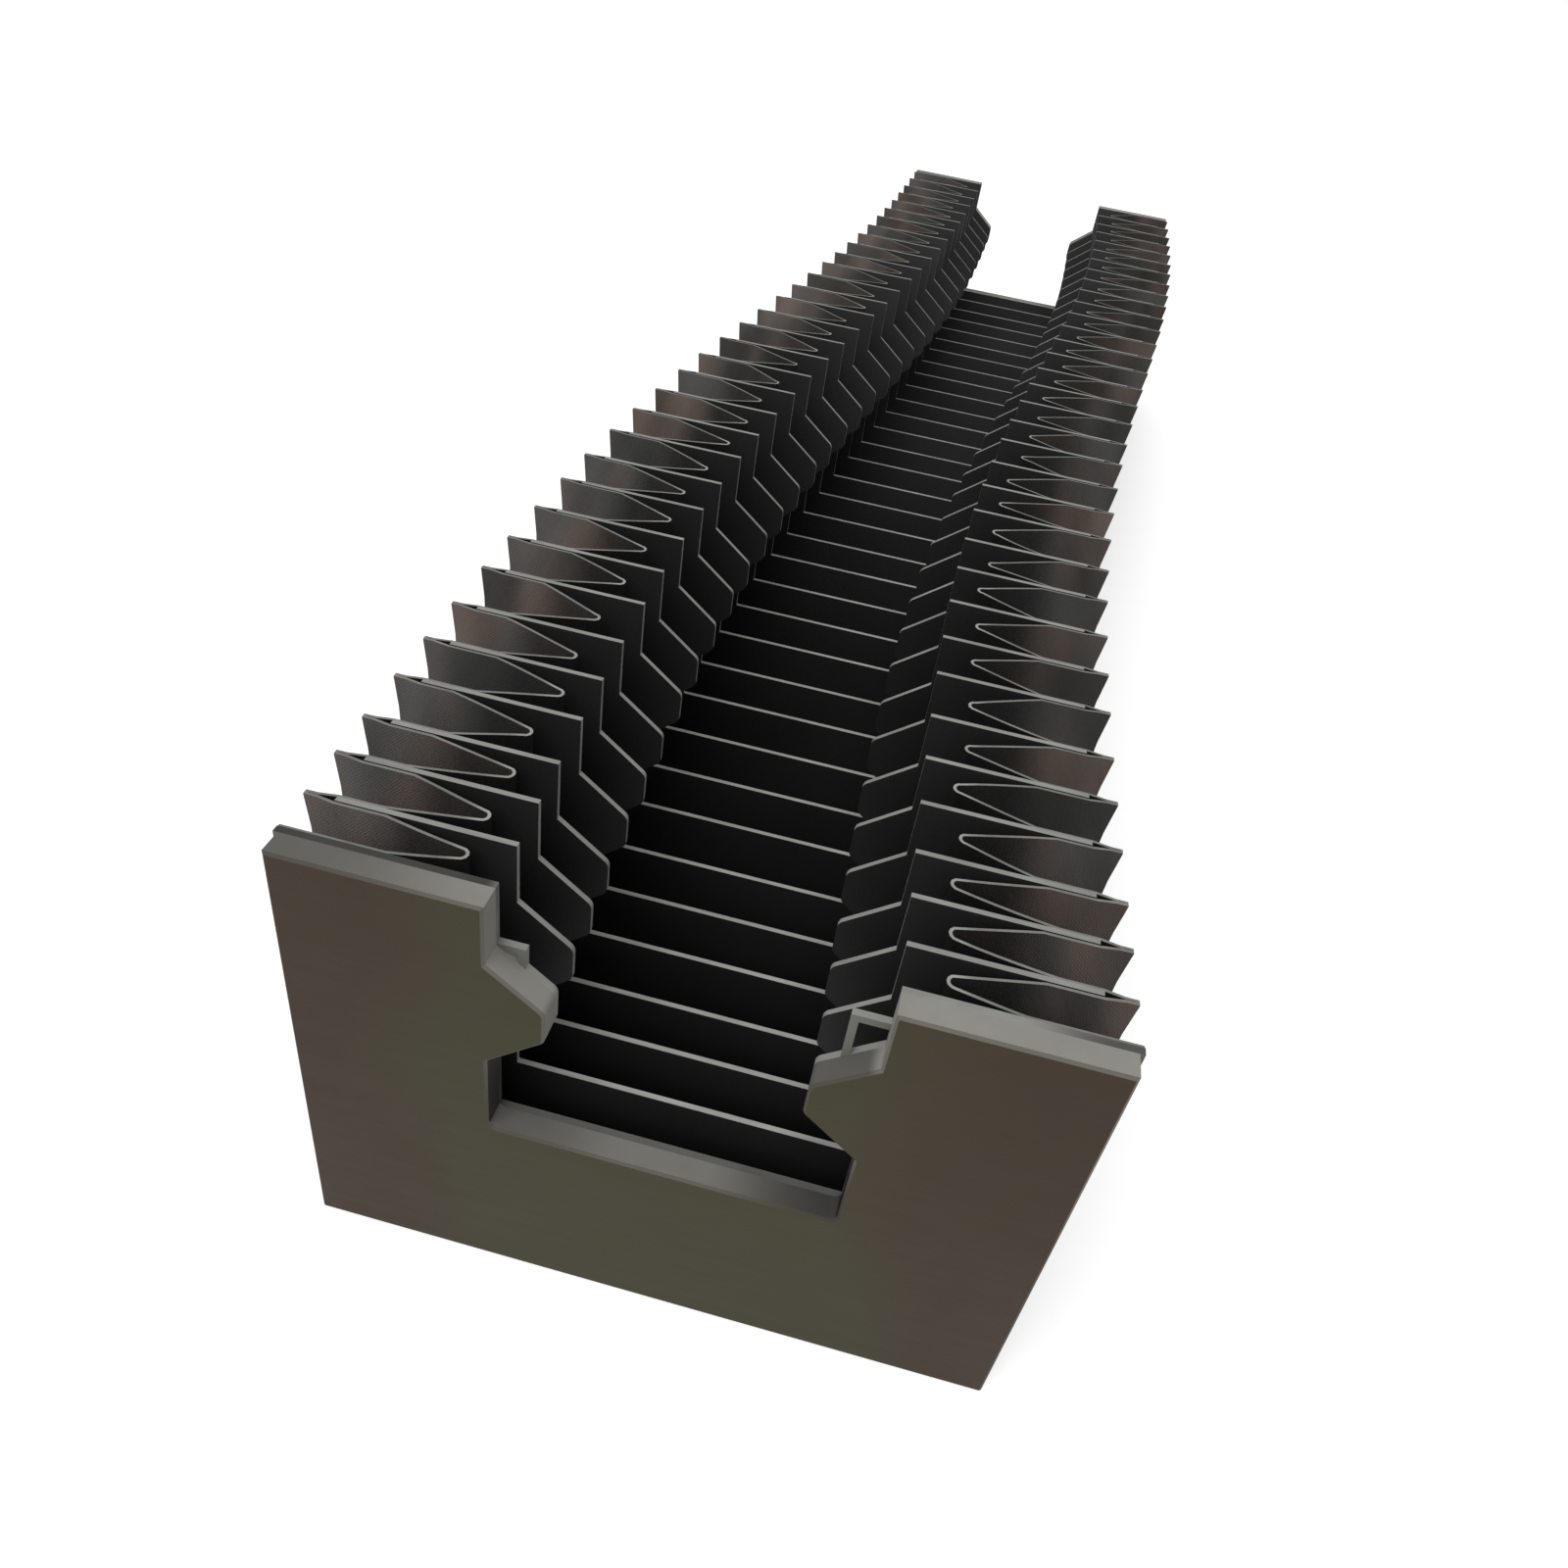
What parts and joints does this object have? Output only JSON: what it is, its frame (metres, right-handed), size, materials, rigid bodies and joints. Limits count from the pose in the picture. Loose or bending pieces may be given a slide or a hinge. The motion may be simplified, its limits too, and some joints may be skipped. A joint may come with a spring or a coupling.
{
  "type": "bellows way cover",
  "caption": "Folded cloth bellows with thin guide frames between two thick end plates, with a rail channel along its whole length.",
  "frame": {"origin": "centre of the box round the whole cover, at the lowest edge of the end plates", "axes": "+Y along the cover from the front plate to the rear plate, +Z out of the open rail channel, +X across to the right"},
  "size_m": [0.122, 0.4344, 0.07],
  "materials": {
    "plate_plastic": "satin, with pale cut edges",
    "retainer_plastic": "satin",
    "frame_plastic": "satin, with pale cut edges",
    "coated_cloth": "coated woven cloth, low sheen"
  },
  "bodies": {
    "front_plate": {"front_end_plate": "plate_plastic", "front_retainer": "retainer_plastic", "bellows_skin": "coated_cloth"},
    "frame_01": {"guide_frame_01": "frame_plastic"},
    "frame_02": {"guide_frame_02": "frame_plastic"},
    "frame_03": {"guide_frame_03": "frame_plastic"},
    "frame_04": {"guide_frame_04": "frame_plastic"},
    "frame_05": {"guide_frame_05": "frame_plastic"},
    "frame_06": {"guide_frame_06": "frame_plastic"},
    "frame_07": {"guide_frame_07": "frame_plastic"},
    "frame_08": {"guide_frame_08": "frame_plastic"},
    "frame_09": {"guide_frame_09": "frame_plastic"},
    "frame_10": {"guide_frame_10": "frame_plastic"},
    "frame_11": {"guide_frame_11": "frame_plastic"},
    "frame_12": {"guide_frame_12": "frame_plastic"},
    "frame_13": {"guide_frame_13": "frame_plastic"},
    "frame_14": {"guide_frame_14": "frame_plastic"},
    "frame_15": {"guide_frame_15": "frame_plastic"},
    "frame_16": {"guide_frame_16": "frame_plastic"},
    "frame_17": {"guide_frame_17": "frame_plastic"},
    "frame_18": {"guide_frame_18": "frame_plastic"},
    "frame_19": {"guide_frame_19": "frame_plastic"},
    "frame_20": {"guide_frame_20": "frame_plastic"},
    "frame_21": {"guide_frame_21": "frame_plastic"},
    "frame_22": {"guide_frame_22": "frame_plastic"},
    "frame_23": {"guide_frame_23": "frame_plastic"},
    "frame_24": {"guide_frame_24": "frame_plastic"},
    "frame_25": {"guide_frame_25": "frame_plastic"},
    "frame_26": {"guide_frame_26": "frame_plastic"},
    "frame_27": {"guide_frame_27": "frame_plastic"},
    "frame_28": {"guide_frame_28": "frame_plastic"},
    "frame_29": {"guide_frame_29": "frame_plastic"},
    "frame_30": {"guide_frame_30": "frame_plastic"},
    "frame_31": {"guide_frame_31": "frame_plastic"},
    "frame_32": {"guide_frame_32": "frame_plastic"},
    "frame_33": {"guide_frame_33": "frame_plastic"},
    "rear_plate": {"rear_end_plate": "plate_plastic", "rear_retainer": "retainer_plastic"}
  },
  "joints": [
    {"name": "rear_slide", "type": "slide", "parent": "front_plate", "child": "rear_plate", "axis": [0, 1, 0], "range_m": [-0.31, 0], "deforming": ["bellows_skin"]},
    {"name": "frame_01_slide", "type": "slide", "parent": "front_plate", "child": "frame_01", "axis": [0, 1, 0], "range_m": [-0.00481, 0]},
    {"name": "frame_02_slide", "type": "slide", "parent": "front_plate", "child": "frame_02", "axis": [0, 1, 0], "range_m": [-0.01074, 0]},
    {"name": "frame_03_slide", "type": "slide", "parent": "front_plate", "child": "frame_03", "axis": [0, 1, 0], "range_m": [-0.01662, 0]},
    {"name": "frame_04_slide", "type": "slide", "parent": "front_plate", "child": "frame_04", "axis": [0, 1, 0], "range_m": [-0.02387, 0]},
    {"name": "frame_05_slide", "type": "slide", "parent": "front_plate", "child": "frame_05", "axis": [0, 1, 0], "range_m": [-0.0312, 0]},
    {"name": "frame_06_slide", "type": "slide", "parent": "front_plate", "child": "frame_06", "axis": [0, 1, 0], "range_m": [-0.03878, 0]},
    {"name": "frame_07_slide", "type": "slide", "parent": "front_plate", "child": "frame_07", "axis": [0, 1, 0], "range_m": [-0.04738, 0]},
    {"name": "frame_08_slide", "type": "slide", "parent": "front_plate", "child": "frame_08", "axis": [0, 1, 0], "range_m": [-0.05547, 0]},
    {"name": "frame_09_slide", "type": "slide", "parent": "front_plate", "child": "frame_09", "axis": [0, 1, 0], "range_m": [-0.06435, 0]},
    {"name": "frame_10_slide", "type": "slide", "parent": "front_plate", "child": "frame_10", "axis": [0, 1, 0], "range_m": [-0.07346, 0]},
    {"name": "frame_11_slide", "type": "slide", "parent": "front_plate", "child": "frame_11", "axis": [0, 1, 0], "range_m": [-0.08219, 0]},
    {"name": "frame_12_slide", "type": "slide", "parent": "front_plate", "child": "frame_12", "axis": [0, 1, 0], "range_m": [-0.09189, 0]},
    {"name": "frame_13_slide", "type": "slide", "parent": "front_plate", "child": "frame_13", "axis": [0, 1, 0], "range_m": [-0.10109, 0]},
    {"name": "frame_14_slide", "type": "slide", "parent": "front_plate", "child": "frame_14", "axis": [0, 1, 0], "range_m": [-0.11052, 0]},
    {"name": "frame_15_slide", "type": "slide", "parent": "front_plate", "child": "frame_15", "axis": [0, 1, 0], "range_m": [-0.12049, 0]},
    {"name": "frame_16_slide", "type": "slide", "parent": "front_plate", "child": "frame_16", "axis": [0, 1, 0], "range_m": [-0.12975, 0]},
    {"name": "frame_17_slide", "type": "slide", "parent": "front_plate", "child": "frame_17", "axis": [0, 1, 0], "range_m": [-0.1398, 0]},
    {"name": "frame_18_slide", "type": "slide", "parent": "front_plate", "child": "frame_18", "axis": [0, 1, 0], "range_m": [-0.14964, 0]},
    {"name": "frame_19_slide", "type": "slide", "parent": "front_plate", "child": "frame_19", "axis": [0, 1, 0], "range_m": [-0.1592, 0]},
    {"name": "frame_20_slide", "type": "slide", "parent": "front_plate", "child": "frame_20", "axis": [0, 1, 0], "range_m": [-0.16954, 0]},
    {"name": "frame_21_slide", "type": "slide", "parent": "front_plate", "child": "frame_21", "axis": [0, 1, 0], "range_m": [-0.17915, 0]},
    {"name": "frame_22_slide", "type": "slide", "parent": "front_plate", "child": "frame_22", "axis": [0, 1, 0], "range_m": [-0.18918, 0]},
    {"name": "frame_23_slide", "type": "slide", "parent": "front_plate", "child": "frame_23", "axis": [0, 1, 0], "range_m": [-0.19943, 0]},
    {"name": "frame_24_slide", "type": "slide", "parent": "front_plate", "child": "frame_24", "axis": [0, 1, 0], "range_m": [-0.20902, 0]},
    {"name": "frame_25_slide", "type": "slide", "parent": "front_plate", "child": "frame_25", "axis": [0, 1, 0], "range_m": [-0.21943, 0]},
    {"name": "frame_26_slide", "type": "slide", "parent": "front_plate", "child": "frame_26", "axis": [0, 1, 0], "range_m": [-0.22935, 0]},
    {"name": "frame_27_slide", "type": "slide", "parent": "front_plate", "child": "frame_27", "axis": [0, 1, 0], "range_m": [-0.23923, 0]},
    {"name": "frame_28_slide", "type": "slide", "parent": "front_plate", "child": "frame_28", "axis": [0, 1, 0], "range_m": [-0.24971, 0]},
    {"name": "frame_29_slide", "type": "slide", "parent": "front_plate", "child": "frame_29", "axis": [0, 1, 0], "range_m": [-0.25938, 0]},
    {"name": "frame_30_slide", "type": "slide", "parent": "front_plate", "child": "frame_30", "axis": [0, 1, 0], "range_m": [-0.26967, 0]},
    {"name": "frame_31_slide", "type": "slide", "parent": "front_plate", "child": "frame_31", "axis": [0, 1, 0], "range_m": [-0.27988, 0]},
    {"name": "frame_32_slide", "type": "slide", "parent": "front_plate", "child": "frame_32", "axis": [0, 1, 0], "range_m": [-0.28962, 0]},
    {"name": "frame_33_slide", "type": "slide", "parent": "front_plate", "child": "frame_33", "axis": [0, 1, 0], "range_m": [-0.30016, 0]}
  ],
  "couplings": [
    {"joint": "frame_01_slide", "follows": "rear_slide", "ratio": 0.015521},
    {"joint": "frame_02_slide", "follows": "rear_slide", "ratio": 0.03463},
    {"joint": "frame_03_slide", "follows": "rear_slide", "ratio": 0.053611},
    {"joint": "frame_04_slide", "follows": "rear_slide", "ratio": 0.077007},
    {"joint": "frame_05_slide", "follows": "rear_slide", "ratio": 0.10063},
    {"joint": "frame_06_slide", "follows": "rear_slide", "ratio": 0.1251},
    {"joint": "frame_07_slide", "follows": "rear_slide", "ratio": 0.15284},
    {"joint": "frame_08_slide", "follows": "rear_slide", "ratio": 0.17893},
    {"joint": "frame_09_slide", "follows": "rear_slide", "ratio": 0.20758},
    {"joint": "frame_10_slide", "follows": "rear_slide", "ratio": 0.23697},
    {"joint": "frame_11_slide", "follows": "rear_slide", "ratio": 0.26514},
    {"joint": "frame_12_slide", "follows": "rear_slide", "ratio": 0.29643},
    {"joint": "frame_13_slide", "follows": "rear_slide", "ratio": 0.32608},
    {"joint": "frame_14_slide", "follows": "rear_slide", "ratio": 0.3565},
    {"joint": "frame_15_slide", "follows": "rear_slide", "ratio": 0.38868},
    {"joint": "frame_16_slide", "follows": "rear_slide", "ratio": 0.41856},
    {"joint": "frame_17_slide", "follows": "rear_slide", "ratio": 0.45096},
    {"joint": "frame_18_slide", "follows": "rear_slide", "ratio": 0.4827},
    {"joint": "frame_19_slide", "follows": "rear_slide", "ratio": 0.51354},
    {"joint": "frame_20_slide", "follows": "rear_slide", "ratio": 0.54691},
    {"joint": "frame_21_slide", "follows": "rear_slide", "ratio": 0.5779},
    {"joint": "frame_22_slide", "follows": "rear_slide", "ratio": 0.61026},
    {"joint": "frame_23_slide", "follows": "rear_slide", "ratio": 0.64331},
    {"joint": "frame_24_slide", "follows": "rear_slide", "ratio": 0.67425},
    {"joint": "frame_25_slide", "follows": "rear_slide", "ratio": 0.70785},
    {"joint": "frame_26_slide", "follows": "rear_slide", "ratio": 0.73984},
    {"joint": "frame_27_slide", "follows": "rear_slide", "ratio": 0.77171},
    {"joint": "frame_28_slide", "follows": "rear_slide", "ratio": 0.80551},
    {"joint": "frame_29_slide", "follows": "rear_slide", "ratio": 0.83671},
    {"joint": "frame_30_slide", "follows": "rear_slide", "ratio": 0.86992},
    {"joint": "frame_31_slide", "follows": "rear_slide", "ratio": 0.90285},
    {"joint": "frame_32_slide", "follows": "rear_slide", "ratio": 0.93425},
    {"joint": "frame_33_slide", "follows": "rear_slide", "ratio": 0.96825}
  ]
}
